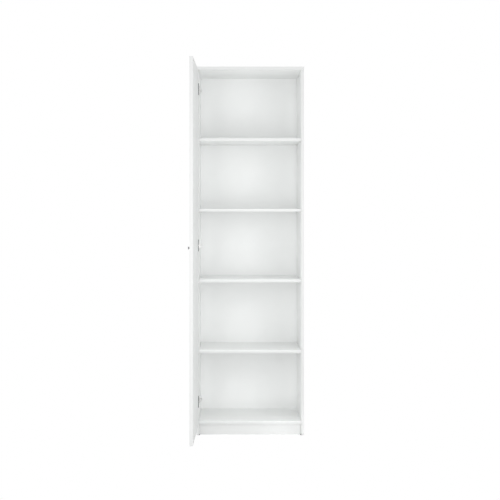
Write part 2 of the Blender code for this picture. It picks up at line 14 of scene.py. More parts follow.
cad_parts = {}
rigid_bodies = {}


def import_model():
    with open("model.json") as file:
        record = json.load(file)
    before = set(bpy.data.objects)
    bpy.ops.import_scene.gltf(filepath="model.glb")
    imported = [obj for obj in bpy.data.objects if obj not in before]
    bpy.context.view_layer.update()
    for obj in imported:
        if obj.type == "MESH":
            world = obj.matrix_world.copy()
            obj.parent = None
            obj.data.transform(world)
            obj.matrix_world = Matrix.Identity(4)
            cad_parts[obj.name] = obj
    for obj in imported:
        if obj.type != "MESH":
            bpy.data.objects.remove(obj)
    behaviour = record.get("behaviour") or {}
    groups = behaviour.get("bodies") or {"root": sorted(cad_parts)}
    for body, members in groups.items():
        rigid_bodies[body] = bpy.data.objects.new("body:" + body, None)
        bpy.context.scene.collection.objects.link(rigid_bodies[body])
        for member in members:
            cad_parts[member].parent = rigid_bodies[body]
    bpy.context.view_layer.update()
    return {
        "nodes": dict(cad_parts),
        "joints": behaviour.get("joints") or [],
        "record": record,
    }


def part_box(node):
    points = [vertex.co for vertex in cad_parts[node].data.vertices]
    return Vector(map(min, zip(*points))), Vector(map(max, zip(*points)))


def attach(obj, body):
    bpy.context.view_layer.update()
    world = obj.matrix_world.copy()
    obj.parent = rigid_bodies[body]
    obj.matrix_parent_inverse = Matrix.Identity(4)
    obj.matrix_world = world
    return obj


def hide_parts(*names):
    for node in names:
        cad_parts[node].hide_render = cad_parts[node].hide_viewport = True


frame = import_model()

# The photograph's camera: its frame and focal length in pixels, the pixel straight ahead of it
# on the horizon, and its place in metres
FRAME_PIXELS = 500
FOCAL_PIXELS = 1148.7
HORIZON_PIXEL = (226.1, 212.0)
CAMERA_PLACE = (-0.134, -6.4475, 1.247)
SENSOR_MM = 36.0

# Light: the white backdrop as the camera sees it, and the surroundings that light the cupboard
BACKDROP = 1.0
SURROUNDINGS = 0.763

# Lamps: each one's place, the way it faces, its width, height, watts and spread in degrees
LAMPS = {
    "soft_box": ((0.25, -2.6, 1.15), (-0.25, 2.6, 0), 1.4, 1.4, 10.5, 180),
    "left_strip": ((-0.1, -0.9, 1.05), (0.4, 0.9, 0), 0.15, 2.0, 0.89, 180),
    "plinth_strip": ((0, -0.4, 0.035), (0, 1, 0), 0.5, 0.04, 0.027, 50),
    "plinth_strip_right": ((0.1, -0.4, 0.035), (0.35, 1, 0), 0.2, 0.04, 0.016, 50),
    "corner_strip_left": ((-0.24, 0.31, 1.06), (-1, 1, 0), 0.02, 1.95, 0.038, 180),
    "corner_strip_right": ((0.24, 0.31, 1.06), (1, 1, 0), 0.02, 1.95, 0.046, 180),
}

# In each bay's mouth: a faint fill, and a spot in line with a source in front of the cupboard
BAY_FILL_WATTS = 0.242
BAY_GLOW_WATTS = 0.43
BAY_GLOW_ANGLE = math.radians(52)
BAY_GLOW_SOURCE = Vector((0.3, -2.5, 1.28))
BAY_GLOW_SIZE = 0.05

# The floor lies just under the cupboard's feet
FLOOR_SIZE = 60.0
FLOOR_DROP = 0.001
FLOOR_WHITE = (0.9, 0.9, 0.9, 1.0)

# Boards: their rounded edges, the bands glued on their edges, and the hairline beside a band
EDGE_RADIUS = 0.0006
EDGE_SEGMENTS = 3
BAND_THICKNESS = 0.0008
SEAM_BREAK = 0.00006
BOARD_BANDS = {
    "side_panel_left": ("-Y",),
    "side_panel_right": ("-Y",),
    "top_panel": ("-Y", "-X", "+X"),
    "bottom_panel": ("-Y",),
    "plinth": ("-Z",),
    "shelf_1": ("-Y",),
    "shelf_2": ("-Y",),
    "shelf_3": ("-Y",),
    "shelf_4": ("-Y",),
    "door": ("-Z", "+Z", "-X", "+X"),
}

# The order of a board's finishes and of the back panel's, and how much of a face's normal has
# to lie along an axis
FACED, BANDED, RAW = 0, 1, 2
WHITE_SIDE, BROWN_SIDE = 0, 1
FACING = 0.5

# Clearances: in a hole, and past the face that a hole opens in
HOLE_GAP = 0.0003
OVERCUT = 0.002

# Back panel nails: their heads, with a profile in shares of the radius and the rise
NAIL_HEAD_RADIUS = 0.0028
NAIL_HEAD_RISE = 0.0003
NAIL_HEAD_PROFILE = ((1.0, 0.0), (0.97, 0.5), (0.8, 0.9), (0.3, 1.0))
NAIL_SPACING = 0.150
NAIL_INSET = 0.006

# Shelf studs
STUD_RADIUS = 0.0025
STUD_DEPTH = 0.008
STUD_HEAD_RADIUS = 0.0035
STUD_HEAD_LENGTH = 0.009
STUD_COLLAR = 0.0012
STUD_GROOVE = 0.0005

# Glides
GLIDE_HEIGHT = 0.004
GLIDE_RADIUS = 0.0085
GLIDE_ROUNDING = 0.0012
GLIDE_RECESS_RADIUS = 0.0032
GLIDE_RECESS_DEPTH = 0.0014

# Glide nails: the head's profile is in shares of its radius and metres under the recess's floor
GLIDE_NAIL_RADIUS = 0.0012
GLIDE_NAIL_HEAD_RADIUS = 0.0027
GLIDE_NAIL_HEAD_PROFILE = ((0.6, 0.0010), (0.9, 0.0008), (1.0, 0.0005), (1.0, 0.0001))
GLIDE_NAIL_LENGTH = 0.012
GLIDE_NAIL_POINT = 0.0025

# Carcass screws
SCREW_LENGTH = 0.050
SCREW_HEAD_RADIUS = 0.005
SCREW_HEAD_DEPTH = 0.004
SCREW_SHANK_RADIUS = 0.0034
SCREW_SHANK_END = 0.014
SCREW_THREAD_START = 0.015
SCREW_THREAD_END = 0.047
SCREW_CREST_RADIUS = 0.0026
SCREW_CORE_RADIUS = 0.0020
SCREW_PITCH = 0.0028
SCREW_HEX_RADIUS = 0.0023
SCREW_HEX_DEPTH = 0.0025

# Plinth dowels
DOWEL_RADIUS = 0.004
DOWEL_FLUTES = 12
DOWEL_FLUTE_DEPTH = 0.00025

# Knob: a foot with an upright rim, a fillet up to the neck, and a rounded head with a dished face
KNOB_RADIUS = 0.007
KNOB_FOOT_RADIUS = 0.005
KNOB_FOOT_RIM = 0.00075
KNOB_FILLET = 0.001125
KNOB_LENGTH = 0.008
KNOB_HEAD_LENGTH = 0.0045
KNOB_ROUNDING = 0.0012
KNOB_DISH = 0.0003

# Knob screw
KNOB_SCREW_RADIUS = 0.002
KNOB_SCREW_HEAD_RADIUS = 0.004
KNOB_SCREW_HEAD_DEPTH = 0.0026
KNOB_SCREW_BITE = 0.0045
KNOB_SCREW_PITCH = 0.0007
KNOB_SCREW_CROSS_DEPTH = 0.0018

# Bumpers
BUMPER_RADIUS = 0.004
BUMPER_EDGE = 0.0006
BUMPER_STEPS = 9

# Hinges: the cup's hole, the pin, and the places of the plates
CUP_RADIUS = 0.0172
CUP_DEPTH = 0.0122
PIN_RADIUS = 0.0009
PLATE_THICKNESS = 0.0025
PLATE_FROM_FRONT = 0.037
STEEL_EDGE_RADIUS = 0.00035

# Wood screws in the hinges' flanges and plates
FLANGE_OFFSET = 0.0045
FLANGE_SCREW_SPACING = 0.048
PLATE_SCREW_SPACING = 0.032
WOOD_SCREW_HEAD_RADIUS = 0.0032
WOOD_SCREW_HEAD_HEIGHT = 0.0011
WOOD_SCREW_RADIUS = 0.0016
WOOD_SCREW_CORE_RADIUS = 0.0011
WOOD_SCREW_LENGTH = 0.0115
WOOD_SCREW_PITCH = 0.0014
WOOD_SCREW_POINT = 0.0025

# The two screws in each hinge's arm
CLAMP_SCREW_HEAD_RADIUS = 0.0038
CLAMP_SCREW_HEAD_HEIGHT = 0.0018
CLAMP_SCREW_RADIUS = 0.002
CLAMP_SCREW_PITCH = 0.0008
SETTING_SCREW_FROM_FRONT = 0.030
SETTING_SCREW_HEAD_RADIUS = 0.0031
SETTING_SCREW_HEAD_HEIGHT = 0.0008

# Pan heads: the cross's reach as a share of the head's radius, and the profiles of the cross's
# mouth and of the dome, each in shares of its own reach and of the head's height
CROSS_DEPTH = 0.0012
PAN_CROSS = 0.55
PAN_CROSS_PROFILE = ((1.0, 0.85), (1.05, 1.0))
PAN_DOME_PROFILE = ((0.7, 0.97), (0.88, 0.8), (0.98, 0.5), (1.0, 0.2), (0.98, 0.0))

# Threads: steps in a turn, the ridge's share of the pitch, and a fine thread's core by its crest
THREAD_STEPS = 8
THREAD_RIDGE = 0.5
FINE_THREAD_CORE = 0.8

# Facets round a turned piece, steps in an arc of its profile, and the angle that stays sharp
SIDES = 48
SMALL_SIDES = 24
KNOB_SIDES = 72
ARC_STEPS = 5
KNOB_ARC_STEPS = 8
SHARP_ANGLE = math.radians(35)

# The middle range of a noise or cell pattern, which a finish spreads over its own range
PATTERN_LOW, PATTERN_HIGH = 0.3, 0.7

AXES = {
    "-X": Vector((-1, 0, 0)),
    "+X": Vector((1, 0, 0)),
    "-Y": Vector((0, -1, 0)),
    "+Y": Vector((0, 1, 0)),
    "-Z": Vector((0, 0, -1)),
    "+Z": Vector((0, 0, 1)),
}

# The door's axis, and the turns between its shut and its open place
HINGE = frame["joints"][0]
PIVOT = Matrix.Translation(Vector(HINGE["pos_m"]))
OPEN_ANGLE = math.radians(HINGE["range_deg"][1])
SHUT_TO_OPEN = PIVOT @ Matrix.Rotation(-OPEN_ANGLE, 4, "Z") @ PIVOT.inverted()
OPEN_TO_SHUT = SHUT_TO_OPEN.inverted()
DOOR_NODES = frame["record"]["behaviour"]["bodies"]["door"]


# Materials

class Finish:
    """A procedural material, whose patterns lie in the object's own metres."""

    def __init__(self, name):
        self.material = bpy.data.materials.new(name)
        self.material.use_nodes = True
        self.tree = self.material.node_tree
        self.nodes = self.tree.nodes
        self.link = self.tree.links.new
        self.shader = self.nodes["Principled BSDF"]
        self.coordinates = self.nodes.new("ShaderNodeTexCoord").outputs["Object"]

    def place(self, stretch):
        mapping = self.nodes.new("ShaderNodeMapping")
        mapping.inputs["Scale"].default_value = stretch
        self.link(self.coordinates, mapping.inputs["Vector"])
        return mapping.outputs["Vector"]

    def noise(self, per_metre, detail=3.0, stretch=(1, 1, 1)):
        texture = self.nodes.new("ShaderNodeTexNoise")
        texture.inputs["Scale"].default_value = per_metre
        texture.inputs["Detail"].default_value = detail
        self.link(self.place(stretch), texture.inputs["Vector"])
        return texture.outputs["Fac"]

    def cells(self, per_metre, output, stretch=(1, 1, 1)):
        texture = self.nodes.new("ShaderNodeTexVoronoi")
        texture.inputs["Scale"].default_value = per_metre
        self.link(self.place(stretch), texture.inputs["Vector"])
        return texture.outputs[output]

    def colour(self, value, low, high):
        ramp = self.nodes.new("ShaderNodeValToRGB")
        ramp.color_ramp.elements[0].position = PATTERN_LOW
        ramp.color_ramp.elements[0].color = (*low, 1.0)
        ramp.color_ramp.elements[1].position = PATTERN_HIGH
        ramp.color_ramp.elements[1].color = (*high, 1.0)
        self.link(value, ramp.inputs["Fac"])
        self.link(ramp.outputs["Color"], self.shader.inputs["Base Color"])

    def tint(self, value, base, share):
        """Varies a colour between itself and a darker share of it."""
        self.colour(value, tuple(channel * share for channel in base), base)

    def roughness(self, value, low, high):
        scale = self.nodes.new("ShaderNodeMapRange")
        scale.inputs["From Min"].default_value = PATTERN_LOW
        scale.inputs["From Max"].default_value = PATTERN_HIGH
        scale.inputs["To Min"].default_value = low
        scale.inputs["To Max"].default_value = high
        self.link(value, scale.inputs["Value"])
        self.link(scale.outputs["Result"], self.shader.inputs["Roughness"])

    def relief(self, value, height):
        bump = self.nodes.new("ShaderNodeBump")
        bump.inputs["Distance"].default_value = height
        self.link(value, bump.inputs["Height"])
        self.link(bump.outputs["Normal"], self.shader.inputs["Normal"])


def make_melamine():
    """White faced board: an even white with the press plate's fine pearl."""
    finish = Finish("white_melamine")
    finish.tint(finish.noise(25), (0.91, 0.92, 0.914), 0.994)
    finish.roughness(finish.noise(90), 0.38, 0.46)
    finish.relief(finish.noise(1600, detail=1.0), 0.000012)
    return finish.material


def make_edge_band():
    """The bands on the boards' edges: smoother than the faces, their gloss in upright streaks."""
    finish = Finish("white_edge_band")
    finish.tint(finish.noise(60), (0.898, 0.908, 0.903), 0.99)
    finish.roughness(finish.noise(300, stretch=(1, 1, 0.1)), 0.34, 0.44)
    finish.relief(finish.noise(900, detail=1.0), 0.000008)
    return finish.material


def make_chipboard():
    finish = Finish("raw_chipboard")
    chips = finish.cells(650, "Color", stretch=(1, 1, 2.2))
    finish.colour(chips, (0.30, 0.20, 0.115), (0.60, 0.46, 0.29))
    finish.roughness(finish.noise(400), 0.8, 0.95)
    finish.relief(finish.cells(650, "Distance", stretch=(1, 1, 2.2)), 0.00025)
    return finish.material


def make_white_hardboard():
    finish = Finish("white_lacquered_hardboard")
    finish.tint(finish.noise(14), (0.905, 0.914, 0.91), 0.99)
    finish.roughness(finish.noise(60), 0.46, 0.56)
    finish.relief(finish.noise(500, detail=2.0), 0.00003)
    return finish.material


def make_raw_hardboard():
    """The back panel's rear: pressed brown fibre."""
    finish = Finish("raw_hardboard")
    finish.colour(finish.noise(260, detail=8.0), (0.21, 0.125, 0.07), (0.34, 0.215, 0.125))
    finish.roughness(finish.noise(180), 0.68, 0.85)
    finish.relief(finish.noise(1400, detail=4.0), 0.00008)
    return finish.material


def make_plated_steel(name, base, low, high):
    """Plated steel: satin, its gloss in faint lines from front to rear."""
    finish = Finish(name)
    finish.shader.inputs["Metallic"].default_value = 1.0
    finish.tint(finish.noise(90), base, 0.96)
    finish.roughness(finish.noise(900, stretch=(1, 0.08, 1)), low, high)
    finish.relief(finish.noise(1200, detail=1.0), 0.000002)
    return finish.material


def make_knob_metal():
    finish = Finish("satin_grey_metal")
    finish.shader.inputs["Metallic"].default_value = 0.8
    finish.tint(finish.noise(300), (0.36, 0.36, 0.37), 0.93)
    finish.roughness(finish.noise(1500, detail=2.0), 0.32, 0.44)
    finish.relief(finish.noise(2600, detail=2.0), 0.00001)
    return finish.material


def make_black_plastic():
    finish = Finish("black_plastic")
    finish.tint(finish.noise(200), (0.05, 0.05, 0.05), 0.93)
    finish.roughness(finish.noise(500), 0.5, 0.62)
    finish.relief(finish.noise(2200, detail=2.0), 0.00003)
    return finish.material


def make_milky_rubber():
    finish = Finish("milky_rubber")
    finish.shader.inputs["Transmission Weight"].default_value = 0.35
    finish.shader.inputs["IOR"].default_value = 1.45
    finish.tint(finish.noise(400), (0.80, 0.80, 0.78), 0.96)
    finish.roughness(finish.noise(700), 0.38, 0.5)
    finish.relief(finish.noise(1500), 0.00001)
    return finish.material


def make_beech():
    """A dowel of beech: fine grain along its length."""
    finish = Finish("beech_dowel")
    grain = finish.noise(1400, detail=5.0, stretch=(0.06, 1, 1))
    finish.colour(grain, (0.52, 0.35, 0.20), (0.72, 0.54, 0.36))
    finish.roughness(finish.noise(900, stretch=(0.1, 1, 1)), 0.6, 0.72)
    finish.relief(finish.noise(1800, stretch=(0.06, 1, 1)), 0.00006)
    return finish.material


MELAMINE = make_melamine()
EDGE_BAND = make_edge_band()
CHIPBOARD = make_chipboard()
WHITE_HARDBOARD = make_white_hardboard()
RAW_HARDBOARD = make_raw_hardboard()
NICKEL = make_plated_steel("nickel_plated_steel_satin", (0.80, 0.80, 0.795), 0.26, 0.34)
# The hinge cups' nickel is a darkened copy of the arms' nickel: painted shade for the dark strip
# along each cup flange's edge
SHADE_PAINTED_NICKEL = make_plated_steel("nickel_steel_painted_shade_satin", (0.20, 0.20, 0.205), 0.34, 0.42)
ZINC = make_plated_steel("zinc_plated_steel_satin", (0.64, 0.64, 0.635), 0.30, 0.40)
KNOB_METAL = make_knob_metal()
BLACK_PLASTIC = make_black_plastic()
MILKY_RUBBER = make_milky_rubber()
BEECH = make_beech()


# Places in the frame

def box_of(name):
    """A node's lowest and highest corners, with the door's nodes as with the door shut."""
    if name not in DOOR_NODES:
        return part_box(name)
    corners = [OPEN_TO_SHUT @ vertex.co for vertex in frame["nodes"][name].data.vertices]
    low = Vector(min(corner[axis] for corner in corners) for axis in range(3))
    high = Vector(max(corner[axis] for corner in corners) for axis in range(3))
    return low, high


def axis_of(side):
    return "XYZ".index(side[-1])


def length_of(name, axis):
    low, high = box_of(name)
    return high[axis_of(axis)] - low[axis_of(axis)]


def middle_of(name):
    low, high = box_of(name)
    return (low + high) / 2


def at_side(name, side):
    """The middle of a node's lowest or highest face along one axis."""
    low, high = box_of(name)
    place = (low + high) / 2
    axis = axis_of(side)
    place[axis] = low[axis] if side[0] == "-" else high[axis]
    return place


def away(side):
    return ("+" if side[0] == "-" else "-") + side[1]


def boxes_meet(first, second):
    return all(first[0][axis] < second[1][axis] and second[0][axis] < first[1][axis]
               for axis in range(3))


def node_names(start, end=""):
    return [name for name in frame["nodes"] if name.startswith(start) and name.endswith(end)]


def inward(name):
    """The way into a piece's side panel."""
    return "-X" if name.endswith("left") else "+X"


def on_side_face(name):
    """A piece's middle, moved to the inner face of the side panel that it belongs to."""
    place = middle_of(name)
    if name.endswith("left"):
        place.x = box_of("side_panel_left")[1].x
    else:
        place.x = box_of("side_panel_right")[0].x
    return place


def behind_front(distance):
    """A depth, measured from the side panels' front edges."""
    return box_of("side_panel_left")[0].y + distance


def cup_centre(name):
    """The middle of a hinge cup's hole, on the door's inner face."""
    place = middle_of(name)
    place.y = box_of("door")[1].y
    return place


def flange_screw_places(cup):
    middle = at_side(cup, "+Y")
    for end in (-1, 1):
        yield middle + Vector((FLANGE_OFFSET, 0, end * FLANGE_SCREW_SPACING / 2))


def plate_screw_places(plate):
    low, _ = box_of(plate)
    middle = middle_of(plate).z
    for end in (-1, 1):
        height = middle + end * PLATE_SCREW_SPACING / 2
        yield Vector((low.x + PLATE_THICKNESS, behind_front(PLATE_FROM_FRONT), height))


# Shapes

def to_mesh(shape, name):
    bmesh.ops.recalc_face_normals(shape, faces=shape.faces)
    mesh = bpy.data.meshes.new(name)
    shape.to_mesh(mesh)
    shape.free()
    return mesh


def round_ring(angle):
    return 1.0


def hex_ring(angle):
    """A hexagon inside the ring's circle."""
    from_flat = math.fmod(angle, math.pi / 3) - math.pi / 6
    return math.cos(math.pi / 6) / math.cos(from_flat)


def cross_ring(angle):
    """A cross recess, each arm reaching to the ring's circle and half as wide as it reaches."""
    arm_slope = 0.25
    from_arm = abs(math.remainder(angle, math.pi / 2))
    if math.tan(from_arm) < arm_slope:
        return 1.0 / math.cos(from_arm)
    return arm_slope / math.sin(from_arm)


def fluted_ring(angle):
    groove = (1 + math.cos(DOWEL_FLUTES * angle)) / 2
    return 1.0 - DOWEL_FLUTE_DEPTH / DOWEL_RADIUS * groove


def thread(start, end, core, crest, pitch):
    """Steps of a thread between two heights, its ridge one turn for each pitch."""
    count = max(2, round((end - start) / pitch * THREAD_STEPS))
    for step in range(count + 1):
        height = start + (end - start) * step / count

        def ridged(angle, turns=height / pitch):
            phase = (turns - angle / (2 * math.pi)) % 1.0
            ridge = max(0.0, 1.0 - 2 / THREAD_RIDGE * abs(phase - 0.5))
            return 1.0 + (crest / core - 1.0) * ridge

        yield core, height, ridged


def fine_thread(start, end, crest, pitch):
    return thread(start, end, FINE_THREAD_CORE * crest, crest, pitch)


def arc(radius, height, rounding, start, end, count=ARC_STEPS):
    """Steps round an arc about a point of the profile, between two angles in degrees."""
    for step in range(count + 1):
        angle = math.radians(start + (end - start) * step / count)
        yield radius + rounding * math.cos(angle), height + rounding * math.sin(angle)


def turned(name, steps, place, way, sides=SIDES):
    """A closed solid round an axis, from (radius, height) or (radius, height, ring) steps."""
    shape = bmesh.new()
    rings = []
    for radius, height, *ring in steps:
        outline = ring[0] if ring else round_ring
        points = []
        for side in range(sides):
            angle = 2 * math.pi * side / sides
            reach = radius * outline(angle)
            point = (reach * math.cos(angle), reach * math.sin(angle), height)
            points.append(shape.verts.new(point))
        rings.append(points)
    for lower, upper in zip(rings, rings[1:]):
        for side in range(sides):
            after = (side + 1) % sides
            shape.faces.new((lower[side], lower[after], upper[after], upper[side]))
    shape.faces.new(rings[0])
    shape.faces.new(rings[-1])
    turn = AXES["+Z"].rotation_difference(AXES[way]).to_matrix().to_4x4()
    shape.transform(Matrix.Translation(place) @ turn)
    mesh = to_mesh(shape, name)
    mesh.shade_smooth()
    mesh.set_sharp_from_angle(angle=SHARP_ANGLE)
    return mesh


def joined_mesh(name, meshes):
    shape = bmesh.new()
    for mesh in meshes:
        shape.from_mesh(mesh)
    joined = bpy.data.meshes.new(name)
    shape.to_mesh(joined)
    shape.free()
    return joined


def add_piece(name, mesh, finishes, body="carcass", stands_for=()):
    """Links a piece built with the door shut, and says what it moves with and stands for."""
    if body == "door":
        mesh.transform(SHUT_TO_OPEN)
    for finish in finishes:
        mesh.materials.append(finish)
    piece = bpy.data.objects.new(name, mesh)
    bpy.context.scene.collection.objects.link(piece)
    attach(piece, body)
    if stands_for:
        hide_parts(*stands_for)
    return piece


def add_zinc(name, mesh, body="carcass", stands_for=()):
    add_piece(name, mesh, (ZINC,), body, stands_for)


def weigh_normals(piece):
    piece.data.shade_smooth()
    piece.data.set_sharp_from_angle(angle=SHARP_ANGLE)
    modifier = piece.modifiers.new("flat_faces", "WEIGHTED_NORMAL")
    modifier.keep_sharp = True


# Profiles of the hardware, as steps of radius and height

def screw_steps():
    rim = EDGE_RADIUS / 2
    return [
        (SCREW_HEX_RADIUS, SCREW_HEX_DEPTH, hex_ring),
        (SCREW_HEX_RADIUS, rim / 2, hex_ring),
        (SCREW_HEX_RADIUS + rim / 2, 0, hex_ring),
        (SCREW_HEAD_RADIUS - rim, 0),
        (SCREW_HEAD_RADIUS, rim),
        (SCREW_HEAD_RADIUS, SCREW_HEAD_DEPTH / 4),
        (SCREW_SHANK_RADIUS, SCREW_HEAD_DEPTH),
        (SCREW_SHANK_RADIUS, SCREW_SHANK_END),
        *thread(SCREW_THREAD_START, SCREW_THREAD_END, SCREW_CORE_RADIUS, SCREW_CREST_RADIUS,
                SCREW_PITCH),
        (SCREW_CORE_RADIUS / 3, SCREW_LENGTH),
    ]


def stud_steps():
    rounding = EDGE_RADIUS
    head = STUD_HEAD_RADIUS
    groove = STUD_COLLAR + STUD_GROOVE
    return [
        (STUD_RADIUS - rounding, -STUD_DEPTH),
        (STUD_RADIUS, -STUD_DEPTH + rounding),
        (STUD_RADIUS, HOLE_GAP),
        (head - rounding / 2, HOLE_GAP),
        (head, HOLE_GAP + rounding / 2),
        (head, STUD_COLLAR),
        (head - STUD_GROOVE, STUD_COLLAR + STUD_GROOVE / 2),
        (head - STUD_GROOVE, groove),
        (head, groove + STUD_GROOVE / 2),
        *arc(head - rounding, STUD_HEAD_LENGTH - rounding, rounding, 0, 90),
    ]


def glide_steps():
    """The glide from its nail's bore at the top, out and down to its sole, and into its recess."""
    bore = GLIDE_NAIL_RADIUS + HOLE_GAP / 3
    sole_edge = arc(GLIDE_RADIUS - GLIDE_ROUNDING, GLIDE_ROUNDING, GLIDE_ROUNDING, 0, -90)
    return [
        (bore, GLIDE_HEIGHT),
        (GLIDE_RADIUS - EDGE_RADIUS, GLIDE_HEIGHT),
        (GLIDE_RADIUS, GLIDE_HEIGHT - EDGE_RADIUS),
        *sole_edge,
        (GLIDE_RECESS_RADIUS, 0),
        (GLIDE_RECESS_RADIUS, GLIDE_RECESS_DEPTH),
        (bore, GLIDE_RECESS_DEPTH),
    ]


def glide_nail_steps():
    head = [(GLIDE_NAIL_HEAD_RADIUS * across, GLIDE_RECESS_DEPTH - under)
            for across, under in GLIDE_NAIL_HEAD_PROFILE]
    tip = GLIDE_HEIGHT + GLIDE_NAIL_LENGTH
    return [
        *head,
        (GLIDE_NAIL_RADIUS, head[-1][1]),
        (GLIDE_NAIL_RADIUS, tip - GLIDE_NAIL_POINT),
        (GLIDE_NAIL_RADIUS / 4, tip),
    ]


def dowel_steps(length):
    chamfer = DOWEL_RADIUS / 4
    return [
        (DOWEL_RADIUS - chamfer, 0),
        (DOWEL_RADIUS, chamfer, fluted_ring),
        (DOWEL_RADIUS, length - chamfer, fluted_ring),
        (DOWEL_RADIUS - chamfer, length),
    ]


def knob_steps():
    """The knob from its screw's hole, out round its foot, neck and head, to its dished face."""
    bore = KNOB_SCREW_RADIUS + HOLE_GAP
    rounding = KNOB_ROUNDING
    head_start = KNOB_LENGTH - KNOB_HEAD_LENGTH
    face = KNOB_RADIUS - rounding
    return [
        (bore, KNOB_SCREW_BITE + HOLE_GAP),
        (bore, 0),
        (KNOB_FOOT_RADIUS - EDGE_RADIUS / 2, 0),
        (KNOB_FOOT_RADIUS, EDGE_RADIUS / 2),
        *arc(KNOB_FOOT_RADIUS, KNOB_FOOT_RIM + KNOB_FILLET, KNOB_FILLET, 270, 180),
        *arc(face, head_start + rounding, rounding, -90, 0, KNOB_ARC_STEPS),
        *arc(face, KNOB_LENGTH - rounding, rounding, 0, 90, KNOB_ARC_STEPS),
        (face / 2, KNOB_LENGTH - KNOB_DISH),
    ]


def knob_screw_steps(thickness):
    cross = KNOB_SCREW_HEAD_RADIUS / 2
    end = thickness + HOLE_GAP + KNOB_SCREW_BITE
    return [
        (cross / 3, KNOB_SCREW_CROSS_DEPTH, cross_ring),
        (cross, KNOB_SCREW_CROSS_DEPTH / 6, cross_ring),
        (cross, 0, cross_ring),
        (KNOB_SCREW_HEAD_RADIUS - EDGE_RADIUS / 4, 0),
        (KNOB_SCREW_HEAD_RADIUS, EDGE_RADIUS / 2),
        (KNOB_SCREW_RADIUS, KNOB_SCREW_HEAD_DEPTH),
        *fine_thread(2 * KNOB_SCREW_HEAD_DEPTH, end, KNOB_SCREW_RADIUS, KNOB_SCREW_PITCH),
        (KNOB_SCREW_RADIUS / 2, end),
    ]


def bumper_steps(height):
    """A low dome on a short straight rim."""
    steps = [(BUMPER_RADIUS, 0), (BUMPER_RADIUS, BUMPER_EDGE)]
    rise = height - BUMPER_EDGE
    for step in range(1, BUMPER_STEPS):
        angle = math.radians(90 * step / BUMPER_STEPS)
        steps.append((BUMPER_RADIUS * math.cos(angle), BUMPER_EDGE + rise * math.sin(angle)))
    return steps + [(BUMPER_RADIUS / 20, height)]


def pin_steps(length):
    end = PIN_RADIUS / 3
    return [
        (PIN_RADIUS - end, 0),
        (PIN_RADIUS, end),
        (PIN_RADIUS, length - end),
        (PIN_RADIUS - end, length),
    ]


def pan_head(radius, height):
    """Steps from a cross recess out over a low domed head to its seat at height 0."""
    cross = radius * PAN_CROSS
    return [
        (cross / 3, CROSS_DEPTH - height, cross_ring),
        *((cross * across, -up * height, cross_ring) for across, up in PAN_CROSS_PROFILE),
        *((radius * across, -up * height) for across, up in PAN_DOME_PROFILE),
    ]


def wood_screw_steps():
    end = WOOD_SCREW_LENGTH - WOOD_SCREW_POINT
    return [
        *pan_head(WOOD_SCREW_HEAD_RADIUS, WOOD_SCREW_HEAD_HEIGHT),
        (WOOD_SCREW_RADIUS, 0),
        *thread(WOOD_SCREW_PITCH, end, WOOD_SCREW_CORE_RADIUS, WOOD_SCREW_RADIUS,
                WOOD_SCREW_PITCH),
        (WOOD_SCREW_CORE_RADIUS / 5, WOOD_SCREW_LENGTH),
    ]


def clamp_screw_steps(reach):
    return [
        *pan_head(CLAMP_SCREW_HEAD_RADIUS, CLAMP_SCREW_HEAD_HEIGHT),
        *fine_thread(EDGE_RADIUS, reach - EDGE_RADIUS, CLAMP_SCREW_RADIUS, CLAMP_SCREW_PITCH),
        (CLAMP_SCREW_RADIUS / 2, reach),
    ]


# Holes in the boards

def plain_hole(radius, depth):
    return [(radius + HOLE_GAP, -OVERCUT), (radius + HOLE_GAP, depth + HOLE_GAP)]


def dowel_hole(length):
    return [(DOWEL_RADIUS + HOLE_GAP, -HOLE_GAP), (DOWEL_RADIUS + HOLE_GAP, length + HOLE_GAP)]


def wood_screw_hole():
    return [(WOOD_SCREW_RADIUS, -OVERCUT), (WOOD_SCREW_RADIUS, WOOD_SCREW_LENGTH)]


def screw_hole():
    gap = HOLE_GAP
    return [
        (SCREW_HEAD_RADIUS + gap, -OVERCUT),
        (SCREW_HEAD_RADIUS + gap, SCREW_HEAD_DEPTH / 4),
        (SCREW_SHANK_RADIUS + gap, SCREW_HEAD_DEPTH + gap),
        (SCREW_SHANK_RADIUS + gap, SCREW_SHANK_END + gap),
        (SCREW_CREST_RADIUS + gap, SCREW_THREAD_START),
        (SCREW_CREST_RADIUS + gap, SCREW_LENGTH + gap),
    ]


def knob_screw_hole(thickness):
    gap = HOLE_GAP
    return [
        (KNOB_SCREW_HEAD_RADIUS + gap, -OVERCUT),
        (KNOB_SCREW_HEAD_RADIUS + gap, EDGE_RADIUS / 2),
        (KNOB_SCREW_RADIUS + gap, KNOB_SCREW_HEAD_DEPTH + gap),
        (KNOB_SCREW_RADIUS + gap, thickness + OVERCUT),
    ]


def screw_seat(name):
    """A carcass screw's seat, on the board's outer face, and the way it goes in."""
    outer = "+Z" if "_top_" in name else inward(name)
    return at_side(name, outer), away(outer)


def carcass_holes():
    """Each hole in the carcass: its steps, its mouth and the way it goes in."""
    for name in node_names("carcass_screw_top") + node_names("carcass_screw_bottom"):
        yield screw_hole(), *screw_seat(name)
    for name in node_names("shelf_pin"):
        yield plain_hole(STUD_RADIUS, STUD_DEPTH), on_side_face(name), inward(name)
    for name in node_names("glide"):
        seat = at_side(name, "-Z") + Vector((0, 0, GLIDE_HEIGHT + HOLE_GAP))
        yield plain_hole(GLIDE_NAIL_RADIUS, GLIDE_NAIL_LENGTH), seat, "+Z"
    for name in node_names("plinth_dowel"):
        yield dowel_hole(length_of(name, "X")), at_side(name, "-X"), "+X"
    for name in node_names("hinge", "plate"):
        for place in plate_screw_places(name):
            yield wood_screw_hole(), place, "-X"


def door_holes():
    """Each hole in the door: its steps, its mouth and the way it goes in."""
    for name in node_names("hinge", "cup"):
        yield plain_hole(CUP_RADIUS, CUP_DEPTH), cup_centre(name), "-Y"
        for place in flange_screw_places(name):
            yield wood_screw_hole(), place, "-Y"
    yield knob_screw_hole(length_of("door", "Y")), at_side("knob_screw", "+Y"), "-Y"


# Boards

